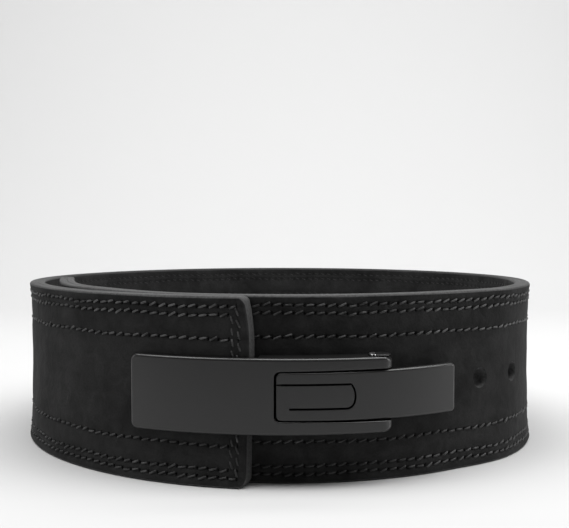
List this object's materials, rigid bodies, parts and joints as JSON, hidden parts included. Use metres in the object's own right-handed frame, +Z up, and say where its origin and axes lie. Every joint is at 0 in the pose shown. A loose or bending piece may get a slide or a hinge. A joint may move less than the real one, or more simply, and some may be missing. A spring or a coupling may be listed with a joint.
{
  "type": "weightlifting lever belt",
  "caption": "Stiff suede leather weightlifting belt curled into a standing loop, its overlapping ends held by a steel lever buckle that swings open.",
  "frame": {"origin": "on the surface that the belt stands on, under the middle of its box", "axes": "+Z up along the belt's width, -Y towards the buckle, +X to the right as seen from the buckle's side"},
  "size_m": [0.3398, 0.3434, 0.1],
  "materials": {
    "black_suede": "matte black suede with slanted grey stitching, cut edges dyed dark grey",
    "black_steel": "satin black powder coat"
  },
  "bodies": {
    "belt": {"strap": "black_suede", "base_plate": "black_steel", "hinge_pin": "black_steel", "screw_1": "black_steel", "screw_2": "black_steel"},
    "lever": {"lever_plate": "black_steel"}
  },
  "joints": [
    {"name": "lever_hinge", "type": "hinge", "parent": "belt", "child": "lever", "pos_m": [0.05396, -0.1579, 0.0488], "axis": [0, 0, 1], "range_deg": [0, 160]}
  ]
}
